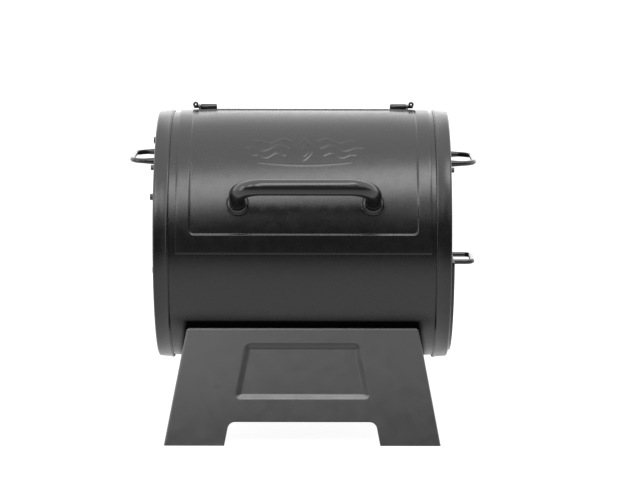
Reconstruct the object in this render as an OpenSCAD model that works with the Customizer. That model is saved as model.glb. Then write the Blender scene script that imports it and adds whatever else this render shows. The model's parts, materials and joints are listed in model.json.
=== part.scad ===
// Tabletop barrel charcoal grill: a rolled steel barrel on two folded sheet legs, with a hinged
// lid, cast cooking grates, a half-round charcoal drawer and two rotary air dampers.
// The barrel's axis runs along X. The front, with the lid handle, faces -Y. The origin lies on
// the floor, straight below the middle of the barrel. Angles around the barrel are measured from
// the front horizontal, upwards and over the top, so 90 is the top line and 180 the back.

/* [Barrel] */
// Outside radius of the rolled barrel sheet
barrel_r = 197.2; // [190:0.1:204]
// Half of the length over the two end caps
cap_x = 232.5; // [230:0.5:260]
// Height of the barrel's axis above the floor
axis_h = 300; // [298:1:302]
// Thickness of the barrel, cap and drawer sheet
sheet = 1.5; // [1.2:0.1:1.8]
// How far the end caps reach along the barrel
cap_depth = 24.5; // [18:0.5:28]

/* [Lid] */
// Half of the lid's width along the barrel
lid_x = 199; // [190:0.5:200]
// Gap between the barrel sheet and the lid sheet that lies over it
lid_gap = 2.2; // [2:0.1:3]
// Thickness of the lid sheet
lid_sheet = 1.6; // [1.2:0.1:1.8]
// Angle of the lid's rear edge
lid_rear_a = 97.2; // [96.8:0.1:97.5]
// Depth of the stamped panel in the lid
stamp_depth = 2; // [1:0.1:2]
// Half of the stamped panel's width
stamp_x = 179; // [150:1:180]
// Angle of the hinge pins around the barrel
hinge_a = 96; // [95.5:0.1:96.5]

/* [Lid handle] */
// Outside diameter of the handle tube
tube_d = 25.4; // [20:0.2:28]
// Distance between the two legs
tube_span = 210; // [180:1:260]
// Distance from the lid to the middle of the bar
tube_reach = 78; // [70:1:90]
// Radius of the bends, at the middle of the tube
tube_bend = 40; // [30:1:45]

/* [Carry handles] */
// Diameter of the handle rod
carry_rod_d = 8.2; // [7:0.1:10]
// Distance between the legs of a carry handle
carry_span = 112; // [90:1:120]
// Height of the carry handles above the barrel's axis
carry_z = 126; // [120:1:130]
// How far a carry handle stands out from its end cap
carry_reach = 45.5; // [36:0.5:60]

/* [Stand] */
// Angle by which the legs lean in from the floor to the barrel
leg_lean = 20.3; // [20.2:0.1:20.4]
// Distance from the middle to the outside of the feet, front to back
foot_y = 219; // [218.5:0.5:219.5]
// Length of a leg plate, measured up its slope
leg_len = 187; // [186:0.5:187]
// Width of a leg plate at the floor
leg_foot_w = 433; // [400:1:440]
// Width of a leg plate at its top
leg_top_w = 365; // [350:1:380]
// Thickness of the leg plates
leg_sheet = 2; // [1.6:0.1:2.2]

/* [Drawer] */
// Outside radius of the drawer's half-round pan
pan_r = 176; // [170:0.5:177]
// Radius of the half-moon drawer front
front_r = 189; // [187:0.5:192]
// Top edge of the drawer front, below the barrel's axis
front_drop = 15; // [14:0.5:18]
// Distance between the legs of the drawer handle
pull_span = 68; // [50:1:90]

/* [Air] */
// Radius of a damper disc
damper_r = 42; // [40:1:45]
// Radius of the vent holes
vent_r = 12; // [8:0.5:12.5]
// Height of the drawer damper's pivot, below the barrel's axis
intake_drop = 105; // [100:1:115]
// Height of the exhaust damper's pivot above the barrel's axis
exhaust_z = 41; // [36:1:44]
// Radius of the port cover on the left cap
port_cover_r = 121; // [118:1:124]

/* [Grates] */
// Half of the cooking grates' depth, front to back
grate_y = 180; // [176:1:181]
// Height of a cooking grate
grate_h = 11; // [9:0.5:12]
// Half of the charcoal grate's depth, front to back
coal_y = 141; // [130:1:142]

/* [Hidden] */
$fn = 96;

// Small clearances: between parts that are fastened, and around a turning shaft
fit_gap = 0.05;
run_gap = 0.3;

// Barrel, lid and cap surfaces
barrel_in = barrel_r - sheet;
shell_x = cap_x - sheet - 2.5;
lid_in = barrel_r + lid_gap;
lid_out = lid_in + lid_sheet;
cap_in = barrel_r + 0.2;
cap_out = cap_in + sheet;
opening_x = lid_x - 10.5;
opening_front_a = 3;
opening_rear_a = lid_rear_a - 2.7;
stamp_front_a = 8.4;
stamp_rear_a = 92;
lid_off = 2;
stamp_out = lid_out - stamp_depth;

// Hinges
pin_r = 2.5;
hinge_r = lid_out + 4.4;
knuckle_r = 4.7;
knuckle_x = 142;
knuckle_len = 24.5;
lug_x = knuckle_x + knuckle_len + 0.8;
lug_t = 2;
clip_x = lug_x + lug_t + 5;
clip_wire_r = 1.7;
clip_mid_r = 2.8;
clip_eye_z = 4.3;
bracket_x = lug_x + 21;
bracket_bolt_x = lug_x + 12;
bracket_a = [101, 114];
bracket_bolt_a = [104.5, 110.5];

// Fasteners: radius of the shank, radius of the head, height of the head
m6 = [3, 5.4, 4.2];
m5 = [2.5, 4.6, 3];
port_bolt = [3, 5.4, 7.4];
carry_bolt = [2.5, 4.6, 6];
nut_h = 5;

// Stand
leg_return = 22;
arch_h = 37.5;
arch_w = 244;
arch_round = 12;
emboss_depth = 3.5;
emboss_round = 6;
flange_a = -45.5;
leg_bolt_x = 130;

// Lid handle
tube_r = tube_d / 2;
tube_wall = 1.6;
tube_foot_a = 22.5;
tube_lean_a = 28;
tube_off = lid_off + 2.5;
cup_r = 18.5;
cup_h = 9;
plug_len = 14;

// Carry handles
carry_r = carry_rod_d / 2;
carry_bend = 26;
tab_t = 3;
tab_w = 16;
tab_drop = 15.5;
tab_bolt_drop = 10.5;
// The handle at the drawer end is bolted a little lower than the other
carry_right_drop = 3.5;

// Left port
port_r = 80;
port_pcd_r = 111;
port_bolts_n = 5;

// Drawer
pan_top = -24;
pan_back_x = -205;
pan_front_x = cap_x + 2.7;
plate_in_x = cap_x + 3;
plate_out_x = plate_in_x + sheet;
pan_flange = 7;
drawer_hole_r = 184;
drawer_hole_top = -20;
rail_top = pan_top - run_gap;
pull_r = 4;
pull_drop = 40.5;
pull_x = 273.5;
pull_bend = 10;
pull_nut = [3, 5.4, 5];

// Dampers
damper_t = 1.2;
vent_n = 3;
vent_pcd_r = 27;
rivet_r = 3;
knob_r = 5;
knob_len = 8;
knob_pcd_r = 33;

// Grates
grate_x = [1.5, 223];
grate_top = 1.5;
grate_bar = 6;
grate_rim = 9;
grate_pitch = 17;
ledge_top = grate_top - grate_h - run_gap;
coal_top = -88;
coal_rod_r = 3;
coal_x = [-196, 224];
coal_pitch = 21;
coal_grate_h = 11;
coal_ledge_top = coal_top - coal_grate_h - run_gap;

// ---------------------------------------------------------------- helpers

// Point in the (Y, Z) plane at a radius and an angle around the barrel
function polar(r, a) = [-r * cos(a), r * sin(a)];

function unit(v) = v / norm(v);

// Arc that rounds the corner at b between the neighbours a and c
function corner_arc(a, b, c, r, n = 4) =
    let (
        u = unit(a - b),
        v = unit(c - b),
        half = acos(u * v) / 2,
        centre = b + unit(u + v) * r / sin(half),
        p = b + u * r / tan(half),
        q = b + v * r / tan(half),
        p_a = atan2(p[1] - centre[1], p[0] - centre[0]),
        q_a = atan2(q[1] - centre[1], q[0] - centre[0]),
        turn = q_a - p_a > 180 ? q_a - p_a - 360 : q_a - p_a < -180 ? q_a - p_a + 360 : q_a - p_a
    )
    [for (i = [0 : n]) centre + r * [cos(p_a + turn * i / n), sin(p_a + turn * i / n)]];

// Outline with every corner rounded to the same radius
function rounded(pts, r) =
    let (n = len(pts))
    [for (i = [0 : n - 1]) each corner_arc(pts[(i + n - 1) % n], pts[i], pts[(i + 1) % n], r)];

// Lifts its children to the barrel's axis
module on_axis() {
    translate([0, 0, axis_h]) children();
}

// Extrudes a (Y, Z) outline along X
module along_x(x0, x1) {
    translate([x0, 0, 0]) rotate([90, 0, 90]) linear_extrude(x1 - x0) children();
}

// Stands its children on a cylinder of radius r, with local +Z pointing outwards
module radial(x, a, r) {
    translate([x, 0, 0]) rotate([90 - a, 0, 0]) translate([0, 0, r]) children();
}

// Keeps a solid on the right side, or mirrors it to the left
module side(s) {
    if (s > 0) children();
    else mirror([1, 0, 0]) children();
}

// Keeps a solid at the front, or mirrors it to the back
module face(front) {
    if (front) children();
    else mirror([0, 1, 0]) children();
}

// Wedge of the (Y, Z) plane between two angles
module wedge(r, a0, a1) {
    steps = 4;
    polygon(concat([[0, 0]], [for (i = [0 : steps]) polar(1.3 * r, a0 + (a1 - a0) * i / steps)]));
}

module ring_2d(r0, r1) {
    difference() {
        circle(r1);
        circle(r0);
    }
}

module ring_sector(r0, r1, a0, a1) {
    intersection() {
        ring_2d(r0, r1);
        wedge(r1, a0, a1);
    }
}

// Half-moon of radius r below the height top
module half_moon(r, top) {
    intersection() {
        circle(r);
        translate([-r, top - r]) square([2 * r, r]);
    }
}

// Straight round rod from p to q
module rod(p, q, r) {
    d = q - p;
    translate(p) rotate([0, acos(d[2] / norm(d)), atan2(d[1], d[0])]) cylinder(h = norm(d), r = r);
}

// Bolt along +Z with its head below z = 0
module bolt(size, len, sides = 6) {
    translate([0, 0, -size[2]]) cylinder(h = size[2], r = size[1], $fn = sides);
    translate([0, 0, -0.5]) cylinder(h = len + 0.5, r = size[0]);
}

module nut(size, h = nut_h) {
    difference() {
        cylinder(h = h, r = size[1] * 1.04, $fn = 6);
        translate([0, 0, -1]) cylinder(h = h + 2, r = size[0] + fit_gap);
    }
}

module washer(r_in, r_out, h) {
    difference() {
        cylinder(h = h, r = r_out);
        translate([0, 0, -1]) cylinder(h = h + 2, r = r_in);
    }
}

// U-shaped rod in the local XZ plane: legs at x = +-span/2 from z0 up to the bar at z = reach
module u_rod(span, reach, bend, r, z0) {
    for (s = [-1, 1]) {
        translate([s * span / 2, 0, z0]) cylinder(h = reach - bend - z0, r = r);
        side(s) translate([span / 2 - bend, 0, reach - bend]) rotate([90, 0, 0])
            rotate_extrude(angle = 90) translate([bend, 0]) circle(r);
    }
    translate([bend - span / 2, 0, reach]) rotate([0, 90, 0]) cylinder(h = span - 2 * bend, r = r);
}

// Places its children on an end face: local +Z points outwards, local X lies along Y
module on_end(s, x, y, z) {
    side(s) translate([x, y, z]) rotate([90, 0, 90]) children();
}

// ---------------------------------------------------------------- barrel

module barrel_shell() {
    color("#26282a") on_axis() difference() {
        along_x(-shell_x, shell_x) ring_2d(barrel_in, barrel_r);
        along_x(-opening_x, opening_x) wedge(barrel_r, opening_front_a, opening_rear_a);
        for (front = [true, false], x = [-leg_bolt_x, 0, leg_bolt_x])
            face(front) radial(x, flange_a, barrel_in - 5) cylinder(h = 10, r = m6[0] + run_gap);
        for (s = [-1, 1], a = bracket_bolt_a)
            side(s) radial(bracket_bolt_x, a, barrel_in - 5) cylinder(h = 10, r = m5[0] + run_gap);
    }
}

// Pressed end cap: a dished disc whose rim reaches over the barrel and ends in a curled lip
module cap_blank() {
    round_r = 4;
    lip_r = 1.8;
    steps = 4;
    corner = [for (i = [0 : steps]) [cap_out - round_r + round_r * sin(90 * i / steps),
                                     -round_r + round_r * cos(90 * i / steps)]];
    inner = [for (i = [steps : -1 : 0]) [cap_in - (round_r - sheet)
                                         + (round_r - sheet) * sin(90 * i / steps),
                                         -round_r + (round_r - sheet) * cos(90 * i / steps)]];
    rotate([0, 90, 0]) translate([0, 0, cap_x]) union() {
        rotate_extrude() polygon(concat([[0, 0]], corner, [[cap_out, -cap_depth],
                                        [cap_in, -cap_depth]], inner, [[0, -sheet]]));
        rotate_extrude() translate([cap_in + lip_r + 0.1, lip_r - 0.3 - cap_depth])
            circle(lip_r, $fn = 24);
    }
}

// Height of the carry handle at end s: -1 the port end, 1 the drawer end
function carry_at(s) = s > 0 ? carry_z - carry_right_drop : carry_z;

module carry_bolt_holes(s) {
    for (y = [-1, 1])
        on_end(1, cap_x - 10, y * carry_span / 2, carry_at(s) - tab_bolt_drop)
            cylinder(h = 20, r = m6[0] + run_gap);
}

module left_end_cap() {
    color("#26282a") on_axis() side(-1) difference() {
        cap_blank();
        on_end(1, cap_x - 10, 0, exhaust_z) cylinder(h = 20, r = port_r);
        on_end(1, cap_x - 10, 0, exhaust_z) port_bolt_circle()
            cylinder(h = 20, r = m6[0] + run_gap);
        carry_bolt_holes(-1);
    }
}

module right_end_cap() {
    color("#26282a") on_axis() difference() {
        cap_blank();
        along_x(cap_x - 10, cap_x + 10) half_moon(drawer_hole_r, drawer_hole_top);
        carry_bolt_holes(1);
    }
}

// ---------------------------------------------------------------- stand

// Leg plate's half width at a distance s up its slope
function leg_half(s) = (leg_foot_w + (leg_top_w - leg_foot_w) * s / leg_len) / 2;

// Stamped panel: s is the distance up the slope, inset shrinks it on every side
function emboss_outline(inset) =
    let (s0 = 72.5 + inset, s1 = 162 - inset, w0 = 107 - 1.1 * inset, w1 = 90 - 1.1 * inset)
    [[-w0, s0], [w0, s0], [w1, s1], [-w1, s1]];

// Puts a flat leg blank on its slope: local X along the barrel, local Y up the slope
module on_leg(front) {
    face(front) translate([0, -foot_y, 0]) rotate([90 - leg_lean, 0, 0]) children();
}

module leg_blank() {
    slope = (leg_foot_w - leg_top_w) / 2 / leg_len;
    edge_a = atan(slope);
    over = 8;
    arch_top = arch_w / 2 - arch_h * slope;
    arch = rounded([[-arch_w / 2 - over * slope, -over], [arch_w / 2 + over * slope, -over],
                    [arch_top, arch_h], [-arch_top, arch_h]], arch_round);
    difference() {
        union() {
            translate([0, 0, -leg_sheet]) linear_extrude(leg_sheet)
                polygon([[-leg_half(-over), -over], [leg_half(-over), -over],
                         [leg_half(leg_len), leg_len], [-leg_half(leg_len), leg_len]]);
            translate([0, 0, -leg_sheet - emboss_depth]) linear_extrude(leg_sheet + emboss_depth)
                polygon(rounded(emboss_outline(3), emboss_round));
            for (s = [-1, 1])
                side(s) translate([leg_half(0), 0, 0]) rotate([0, 0, edge_a])
                    translate([-leg_sheet, -over, -leg_return])
                    cube([leg_sheet, leg_len + over - 2, leg_return]);
        }
        translate([0, 0, -emboss_depth]) linear_extrude(2 * emboss_depth)
            polygon(rounded(emboss_outline(3 + leg_sheet), emboss_round - leg_sheet));
        translate([0, 0, -2 * leg_return]) linear_extrude(3 * leg_return) polygon(arch);
    }
}

module leg(front) {
    flange_x = leg_top_w / 2 - 4;
    flange_low = -13;
    flange_high = 21.5;
    floor_cut = 2 * leg_foot_w;
    difference() {
        union() {
            on_leg(front) leg_blank();
            on_axis() face(front) radial(0, flange_a, barrel_r + 0.3)
                translate([-flange_x, flange_low, 0])
                cube([2 * flange_x, flange_high - flange_low, leg_sheet]);
        }
        on_axis() rotate([0, 90, 0]) translate([0, 0, -leg_foot_w])
            cylinder(h = 2 * leg_foot_w, r = barrel_r + 0.25);
        translate([-floor_cut / 2, -floor_cut / 2, -50]) cube([floor_cut, floor_cut, 50]);
        on_axis() face(front) for (x = [-leg_bolt_x, 0, leg_bolt_x])
            radial(x, flange_a, barrel_in) cylinder(h = 10, r = m6[0] + run_gap);
    }
}

module front_leg() {
    color("#3a3c3e") leg(true);
}

module rear_leg() {
    color("#3a3c3e") leg(false);
}

module leg_bolts() {
    color("#55585b") on_axis() for (front = [true, false], x = [-leg_bolt_x, 0, leg_bolt_x])
        face(front) radial(x, flange_a, barrel_r + 0.35 + leg_sheet) mirror([0, 0, 1]) bolt(m6, 12);
}

module leg_nuts() {
    color("#55585b") on_axis() for (front = [true, false], x = [-leg_bolt_x, 0, leg_bolt_x])
        face(front) radial(x, flange_a, barrel_in - 0.2 - nut_h) nut(m6);
}

// ---------------------------------------------------------------- carry handles

// Rod handle whose two ends are flared and flattened into bolted tabs
module carry_handle(x0, z) {
    base_z = x0 - cap_x;
    flare_r = 5.6;
    flare_len = 20;
    on_end(1, cap_x, 0, z) difference() {
        union() {
            u_rod(carry_span, carry_reach - carry_r, carry_bend, carry_r, base_z + tab_t / 2);
            for (s = [-1, 1]) translate([s * carry_span / 2, 0, base_z]) {
                translate([0, 0, tab_t / 2]) cylinder(h = flare_len, r1 = flare_r, r2 = carry_r - 0.1);
                translate([-tab_w / 2, -tab_drop, 0]) cube([tab_w, tab_drop + flare_r, tab_t]);
            }
        }
        for (s = [-1, 1])
            translate([s * carry_span / 2, -tab_bolt_drop, -5]) cylinder(h = 20, r = m5[0] + run_gap);
    }
}

module left_carry_handle() {
    color("#2c2e30") on_axis() side(-1) carry_handle(cap_x + sheet, carry_at(-1));
}

module right_carry_handle() {
    color("#2c2e30") on_axis() carry_handle(cap_x, carry_at(1));
}

module carry_handle_bolts() {
    color("#55585b") on_axis() for (s = [-1, 1], y = [-1, 1])
        on_end(s, cap_x + tab_t + (s < 0 ? sheet : 0) + fit_gap, y * carry_span / 2,
               carry_at(s) - tab_bolt_drop)
            mirror([0, 0, 1]) bolt(carry_bolt, 16);
}

module carry_handle_nuts() {
    color("#55585b") on_axis() for (s = [-1, 1], y = [-1, 1])
        on_end(s, cap_x - sheet - fit_gap - nut_h, y * carry_span / 2, carry_at(s) - tab_bolt_drop)
            nut(m5);
}

// ---------------------------------------------------------------- left port and exhaust

// Bolt circle of the port, the first hole at the top
module port_bolt_circle() {
    for (i = [0 : port_bolts_n - 1])
        rotate([0, 0, 90 + 360 * i / port_bolts_n]) translate([port_pcd_r, 0, 0]) children();
}

module vent_holes(first_a) {
    for (i = [0 : vent_n - 1])
        rotate([0, 0, first_a + 360 * i / vent_n]) translate([vent_pcd_r, 0, -10])
            cylinder(h = 30, r = vent_r);
}

module port_cover() {
    color("#26282a") on_axis() on_end(-1, cap_x, 0, exhaust_z) difference() {
        cylinder(h = sheet, r = port_cover_r);
        vent_holes(90);
        translate([0, 0, -5]) cylinder(h = 10, r = rivet_r + fit_gap);
        port_bolt_circle() translate([0, 0, -5]) cylinder(h = 10, r = m6[0] + run_gap);
        for (s = [-1, 1])
            translate([s * carry_span / 2, carry_at(-1) - tab_bolt_drop - exhaust_z, -5])
                cylinder(h = 10, r = m5[0] + run_gap);
    }
}

module port_bolts() {
    color("#55585b") on_axis() on_end(-1, cap_x + sheet + fit_gap, 0, exhaust_z)
        port_bolt_circle() mirror([0, 0, 1]) bolt(port_bolt, 13);
}

module port_nuts() {
    color("#55585b") on_axis() on_end(-1, cap_x - sheet - fit_gap - nut_h, 0, exhaust_z)
        port_bolt_circle() nut(m6);
}

// Pivot rivet: a shank through the plate and the disc, with a head on each side
module rivet(plate_t) {
    head_h = 1.6;
    disc_out = plate_t + 2 * run_gap + damper_t;
    translate([0, 0, -head_h]) cylinder(h = disc_out + 2 * head_h, r = rivet_r);
    translate([0, 0, -head_h - fit_gap]) cylinder(h = head_h, r = 6);
    translate([0, 0, disc_out]) cylinder(h = head_h, r = 7);
}

// Damper disc with its vents turned half a pitch away from the plate's
module damper_disc() {
    difference() {
        cylinder(h = damper_t, r = damper_r);
        vent_holes(90 + 180 / vent_n);
        translate([0, 0, -5]) cylinder(h = 10, r = rivet_r + fit_gap);
    }
}

module damper_knob() {
    translate([0, knob_pcd_r, 0]) union() {
        cylinder(h = knob_len, r = knob_r - 1.5);
        translate([0, 0, knob_len - 5]) cylinder(h = 5, r = knob_r);
    }
}

module exhaust_rivet() {
    color("#55585b") on_axis() on_end(-1, cap_x, 0, exhaust_z) rivet(sheet);
}

module exhaust_damper() {
    color("#2c2e30") on_axis() on_end(-1, cap_x + sheet + run_gap, 0, exhaust_z) damper_disc();
}

module exhaust_damper_knob() {
    color("#55585b") on_axis() on_end(-1, cap_x + sheet + run_gap + damper_t, 0, exhaust_z)
        damper_knob();
}

// ---------------------------------------------------------------- hinges

// Folded bracket: a foot bolted to the barrel and an upright lug that holds the pin
module hinge_bracket(s) {
    foot_t = 2;
    pin_at = polar(hinge_r, hinge_a);
    heel = polar(barrel_r + fit_gap, bracket_a[1]);
    toe = polar(barrel_r + fit_gap, bracket_a[0]);
    eye_r = 4;
    neck = 6.5;
    color("#2c2e30") on_axis() side(s) difference() {
        union() {
            along_x(lug_x, bracket_x)
                ring_sector(barrel_r + fit_gap, barrel_r + fit_gap + foot_t, bracket_a[0],
                            bracket_a[1]);
            along_x(lug_x, lug_x + lug_t) difference() {
                polygon([pin_at + [0, eye_r], pin_at + [-eye_r * 0.7, eye_r * 0.7],
                         pin_at + [-eye_r, 0], pin_at + [-eye_r * 0.7, -eye_r * 0.7],
                         pin_at + [0, -eye_r], pin_at + [neck, -eye_r], toe + [2, 3.6],
                         toe * 1.0002, heel * 1.0002, heel + [0, 2]]);
                circle(barrel_r + fit_gap);
            }
        }
        translate([lug_x - 5, pin_at[0], pin_at[1]]) rotate([0, 90, 0])
            cylinder(h = lug_t + 10, r = pin_r + fit_gap);
        for (a = bracket_bolt_a)
            radial(bracket_bolt_x, a, barrel_in) cylinder(h = 15, r = m5[0] + run_gap);
    }
}

module hinge_bracket_left() {
    hinge_bracket(-1);
}

module hinge_bracket_right() {
    hinge_bracket(1);
}

module hinge_bolts() {
    color("#55585b") on_axis() for (s = [-1, 1], a = bracket_bolt_a)
        side(s) radial(bracket_bolt_x, a, barrel_r + 2.2) mirror([0, 0, 1]) bolt(m5, 11);
}

module hinge_nuts() {
    color("#55585b") on_axis() for (s = [-1, 1], a = bracket_bolt_a)
        side(s) radial(bracket_bolt_x, a, barrel_in - 0.2 - nut_h) nut(m5);
}

// Hinge pin with a head at its inner end and a cross hole, front to back, for the clip
module hinge_pin(s) {
    head_r = 4.1;
    head_t = 2;
    pin_at = polar(hinge_r, hinge_a);
    pin_x = knuckle_x - fit_gap;
    color("#6b6e71") on_axis() side(s) translate([0, pin_at[0], pin_at[1]]) difference() {
        union() {
            translate([pin_x, 0, 0]) rotate([0, 90, 0]) cylinder(h = clip_x + 3 - pin_x, r = pin_r);
            translate([pin_x - head_t, 0, 0]) rotate([0, 90, 0]) cylinder(h = head_t, r = head_r);
        }
        translate([clip_x, 5, 0]) rotate([90, 0, 0]) cylinder(h = 10, r = clip_wire_r + 0.1);
    }
}

module hinge_pin_left() {
    hinge_pin(-1);
}

module hinge_pin_right() {
    hinge_pin(1);
}

// Wire clip: an upright eye in front of the pin and a shank through the pin's cross hole
module hinge_clip(s) {
    eye_y = -pin_r - clip_wire_r - 0.15;
    tail_y = pin_r + 2.5;
    pin_at = polar(hinge_r, hinge_a);
    color("#6b6e71") on_axis() side(s) translate([clip_x, pin_at[0], pin_at[1]]) union() {
        translate([0, eye_y, clip_eye_z]) rotate([90, 0, 0]) rotate_extrude()
            translate([clip_mid_r, 0]) circle(clip_wire_r, $fn = 24);
        rod([0, eye_y, 0], [0, tail_y, 0], clip_wire_r - 0.05, $fn = 24);
        rod([0, tail_y - 0.4, 0], [4, tail_y - 0.4, 1.5], clip_wire_r - 0.15, $fn = 24);
    }
}

module hinge_clip_left() {
    hinge_clip(-1);
}

module hinge_clip_right() {
    hinge_clip(1);
}

// Knuckle tubes, welded along their undersides onto the lid
module hinge_knuckles() {
    pin_at = polar(hinge_r, hinge_a);
    color("#2c2e30") on_axis() for (s = [-1, 1]) side(s) difference() {
        translate([knuckle_x, pin_at[0], pin_at[1]]) rotate([0, 90, 0])
            cylinder(h = knuckle_len, r = knuckle_r);
        rotate([0, 90, 0]) cylinder(h = 2 * cap_x, r = lid_out + fit_gap);
        translate([knuckle_x - 5, pin_at[0], pin_at[1]]) rotate([0, 90, 0])
            cylinder(h = knuckle_len + 10, r = pin_r + fit_gap);
    }
}

// ---------------------------------------------------------------- ledges and rails

// Angle strip welded inside the barrel: a shelf of width w at the height top, and a web below it
module strip(top, w, web) {
    strip_t = 2;
    strip_x = shell_x - 4;
    edge = sqrt(pow(barrel_in, 2) - pow(top, 2)) - 0.5;
    along_x(-strip_x, strip_x) intersection() {
        union() {
            translate([-edge, top - strip_t]) square([w, strip_t]);
            translate([-edge + 4, top - web]) square([strip_t, web]);
        }
        circle(barrel_in - fit_gap);
    }
}

module front_grate_ledge() {
    color("#3a3c3e") on_axis() strip(ledge_top, 22, 12);
}

module rear_grate_ledge() {
    color("#3a3c3e") on_axis() face(false) strip(ledge_top, 22, 12);
}

module front_drawer_rail() {
    color("#3a3c3e") on_axis() strip(rail_top, 18.6, 14);
}

module rear_drawer_rail() {
    color("#3a3c3e") on_axis() face(false) strip(rail_top, 18.6, 14);
}

// ---------------------------------------------------------------- lid

// Stands its children at a foot of the lid handle, with local +Z along the leg
module on_handle(x) {
    foot = polar(stamp_out, tube_foot_a);
    translate([tube_off + x, foot[0], foot[1]]) rotate([90 - tube_lean_a, 0, 0]) children();
}

module lid_panel() {
    step = 0.45;
    color("#26282a") on_axis() difference() {
        union() {
            along_x(lid_off - lid_x, lid_off + lid_x) ring_sector(lid_in, lid_out, 0, lid_rear_a);
            along_x(lid_off - stamp_x - lid_sheet, lid_off + stamp_x + lid_sheet)
                ring_sector(stamp_out - lid_sheet, lid_out - 0.6, stamp_front_a - step,
                            stamp_rear_a + step);
        }
        along_x(lid_off - stamp_x, lid_off + stamp_x)
            ring_sector(stamp_out, lid_out + 5, stamp_front_a, stamp_rear_a);
        for (x = [-1, 1] * tube_span / 2)
            on_handle(x) translate([0, 0, -10]) cylinder(h = 15, r = m6[0] + run_gap);
    }
}

module lid_cylinder_cut(r) {
    rotate([0, 90, 0]) translate([0, 0, -lid_x]) cylinder(h = 2 * lid_x, r = r);
}

module lid_handle() {
    color("#1f2022") on_axis() difference() {
        on_handle(0) u_rod(tube_span, tube_reach, tube_bend, tube_r, -3);
        on_handle(0) u_rod(tube_span, tube_reach, tube_bend, tube_r - tube_wall, -8);
        lid_cylinder_cut(stamp_out + 0.4);
    }
}

// Threaded plugs welded into the ends of the handle tube
module lid_handle_plugs() {
    color("#6b6e71") on_axis() difference() {
        for (x = [-1, 1] * tube_span / 2)
            on_handle(x) translate([0, 0, -2]) difference() {
                cylinder(h = plug_len, r = tube_r - tube_wall - fit_gap);
                translate([0, 0, -1]) cylinder(h = plug_len + 2, r = m6[0] + fit_gap);
            }
        lid_cylinder_cut(stamp_out + 0.4);
    }
}

// Domed cups around the feet of the handle
module lid_handle_cups() {
    color("#141516") on_axis() difference() {
        for (x = [-1, 1] * tube_span / 2)
            on_handle(x) difference() {
                union() {
                    translate([0, 0, -3]) cylinder(h = 6, r = cup_r);
                    translate([0, 0, 3]) cylinder(h = cup_h - 3, r1 = cup_r, r2 = tube_r + 2);
                }
                translate([0, 0, -5]) cylinder(h = cup_h + 10, r = tube_r + fit_gap);
            }
        lid_cylinder_cut(stamp_out + fit_gap);
    }
}

module lid_handle_washers() {
    color("#6b6e71") on_axis() for (x = [-1, 1] * tube_span / 2)
        on_handle(x) translate([0, 0, -lid_sheet - 3]) washer(m6[0] + run_gap, 9, 1.6);
}

module lid_handle_screws() {
    color("#6b6e71") on_axis() for (x = [-1, 1] * tube_span / 2)
        on_handle(x) translate([0, 0, -lid_sheet - 3.1]) bolt(m6, 14);
}

// ---------------------------------------------------------------- drawer

module drawer_pan() {
    color("#4a4d50") on_axis() difference() {
        union() {
            along_x(pan_back_x, pan_front_x) half_moon(pan_r, pan_top);
            along_x(pan_back_x, cap_x - 6) for (s = [-1, 1]) {
                y0 = sqrt(pow(pan_r, 2) - pow(pan_top, 2)) - 2;
                translate([s > 0 ? y0 : -y0 - pan_flange, pan_top]) square([pan_flange, sheet]);
            }
        }
        along_x(pan_back_x + sheet, pan_front_x - sheet)
            half_moon(pan_r - sheet, pan_top + pan_flange);
        for (s = [-1, 1])
            on_end(1, cap_x - 20, s * pull_span / 2, -pull_drop) cylinder(h = 40, r = m6[0] + run_gap);
        on_end(1, cap_x - 20, 0, -intake_drop) cylinder(h = 40, r = damper_r - 2);
    }
}

module drawer_front() {
    rim_t = 2;
    color("#26282a") on_axis() difference() {
        along_x(cap_x + run_gap, plate_out_x) half_moon(front_r, -front_drop);
        along_x(cap_x - 5, plate_in_x) half_moon(front_r - rim_t, -front_drop - rim_t);
        for (s = [-1, 1])
            on_end(1, cap_x, s * pull_span / 2, -pull_drop) cylinder(h = 10, r = m6[0] + run_gap);
        on_end(1, plate_in_x, 0, -intake_drop) {
            vent_holes(90);
            translate([0, 0, -5]) cylinder(h = 10, r = rivet_r + fit_gap);
        }
    }
}

// Rod pull with threaded ends through the drawer front
module drawer_handle() {
    base = plate_out_x + 1.6;
    color("#2c2e30") on_axis() on_end(1, 0, 0, -pull_drop) union() {
        u_rod(pull_span, pull_x, pull_bend, pull_r, base);
        for (s = [-1, 1]) translate([s * pull_span / 2, 0, pan_front_x - sheet - 7])
            cylinder(h = base - pan_front_x + sheet + 8, r = m6[0]);
    }
}

module drawer_handle_washers() {
    color("#55585b") on_axis() for (s = [-1, 1])
        on_end(1, plate_out_x + fit_gap, s * pull_span / 2, -pull_drop)
            washer(m6[0] + fit_gap, 7.5, 1.5);
}

module drawer_handle_nuts() {
    color("#55585b") on_axis() for (s = [-1, 1])
        on_end(1, pan_front_x - sheet - fit_gap - nut_h, s * pull_span / 2, -pull_drop)
            nut(pull_nut);
}

module intake_rivet() {
    color("#55585b") on_axis() on_end(1, plate_in_x, 0, -intake_drop) rivet(sheet);
}

module intake_damper() {
    color("#2c2e30") on_axis() on_end(1, plate_out_x + run_gap, 0, -intake_drop) damper_disc();
}

module intake_damper_knob() {
    color("#55585b") on_axis() on_end(1, plate_out_x + run_gap + damper_t, 0, -intake_drop)
        damper_knob();
}

// Strips welded inside the pan that carry the charcoal grate
module coal_ledges() {
    edge = sqrt(pow(pan_r - sheet, 2) - pow(coal_ledge_top, 2)) - 0.4;
    color("#3a3c3e") on_axis() along_x(pan_back_x + 10, cap_x - 14) for (s = [0, 1])
        mirror([s, 0]) intersection() {
            translate([edge - 16, coal_ledge_top - 2]) square([16, 2]);
            circle(pan_r - sheet - fit_gap);
        }
}

// ---------------------------------------------------------------- grates

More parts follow.
